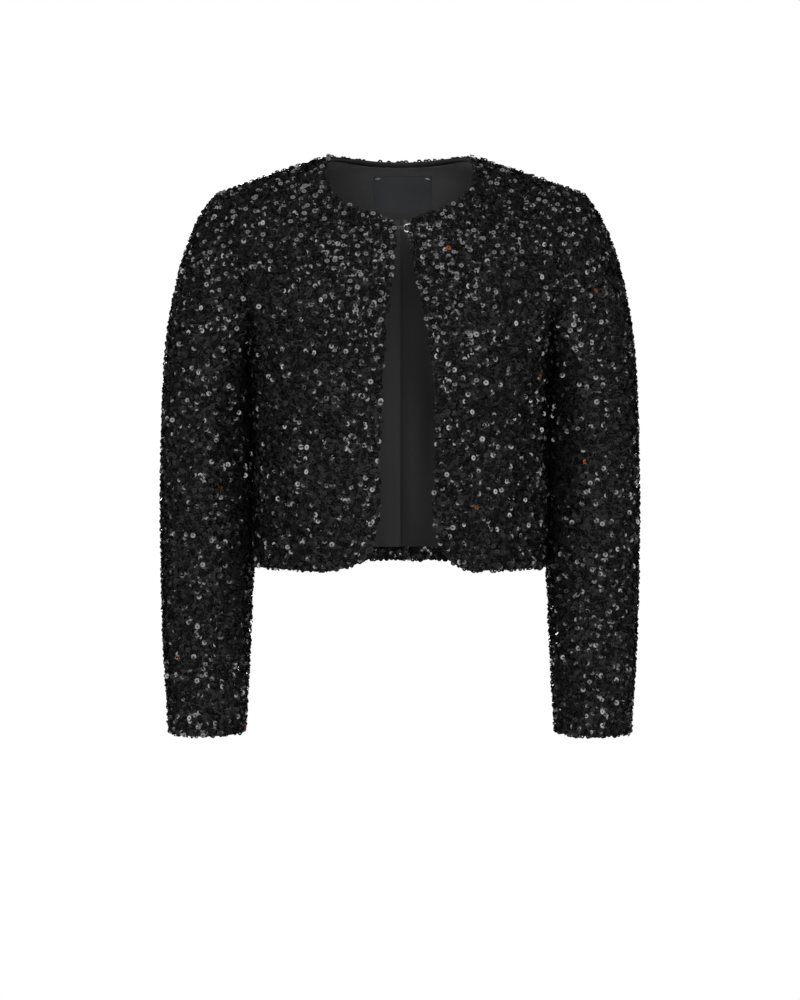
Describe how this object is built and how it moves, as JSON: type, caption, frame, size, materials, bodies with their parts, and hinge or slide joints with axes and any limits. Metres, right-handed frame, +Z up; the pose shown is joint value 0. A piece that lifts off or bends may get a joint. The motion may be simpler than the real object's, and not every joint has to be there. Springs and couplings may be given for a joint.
{
  "type": "bolero jacket",
  "caption": "Cropped black sequinned evening jacket with long set-in sleeves, round collarless neck and edge-to-edge fronts held by one hook, filled out as when worn.",
  "frame": {"origin": "on the centre plane between the shoulders, level with the tops of the shoulder seams beside the neck", "axes": "+X to the wearer's left, -Y out of the front, +Z up"},
  "size_m": [0.4942, 0.2348, 0.5967],
  "materials": {
    "sequin_cloth": "black cupped sequins with a high gloss on a black ground",
    "lining_satin": "smooth black lining with a slight sheen",
    "facing_cloth": "matt plain black cloth",
    "label_weave": "blank woven label, cool dark grey",
    "roll_cloth": "matt black rolled edge",
    "bright_steel": "bright nickel plated wire",
    "black_steel": "black lacquered wire"
  },
  "bodies": {
    "root": {"front_right": "sequin_cloth", "front_left": "sequin_cloth", "back": "sequin_cloth", "sleeve_right": "sequin_cloth", "sleeve_left": "sequin_cloth", "back_lining": "lining_satin", "back_neck_facing": "facing_cloth", "neck_label": "label_weave", "neck_roll": "roll_cloth", "neck_hook": "black_steel", "neck_eye": "bright_steel"}
  },
  "joints": []
}
